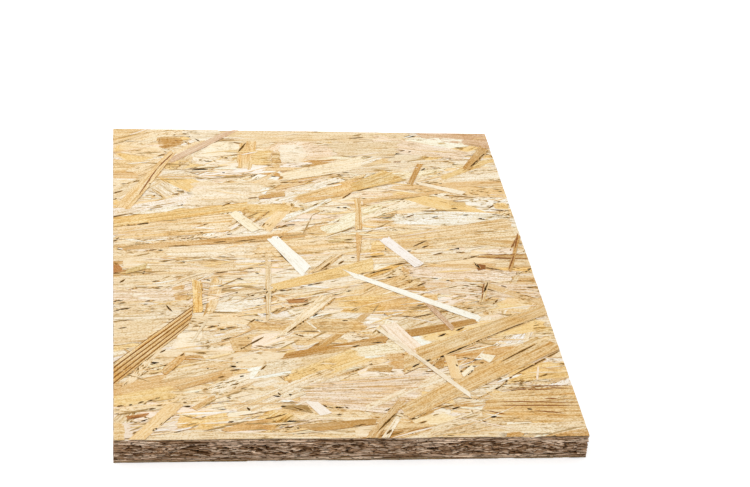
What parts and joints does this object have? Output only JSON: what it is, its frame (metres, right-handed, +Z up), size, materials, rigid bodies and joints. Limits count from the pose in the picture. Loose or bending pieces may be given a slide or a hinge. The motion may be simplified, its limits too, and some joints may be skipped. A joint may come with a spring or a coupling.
{
  "type": "oriented strand board panel",
  "caption": "Flat rectangular panel of pressed wood strands with square sawn edges, for sheathing, decking, shelving and boxes.",
  "frame": {"origin": "middle of the underside, where the panel rests", "axes": "+X along the front edge, +Y from the front edge to the back edge, +Z up through the thickness"},
  "size_m": [0.3, 0.4, 0.018],
  "materials": {
    "strand_wood": "raw pressed wood strands, unsanded faces and sawn edges"
  },
  "bodies": {
    "root": {"osb_panel": "strand_wood"}
  },
  "joints": []
}
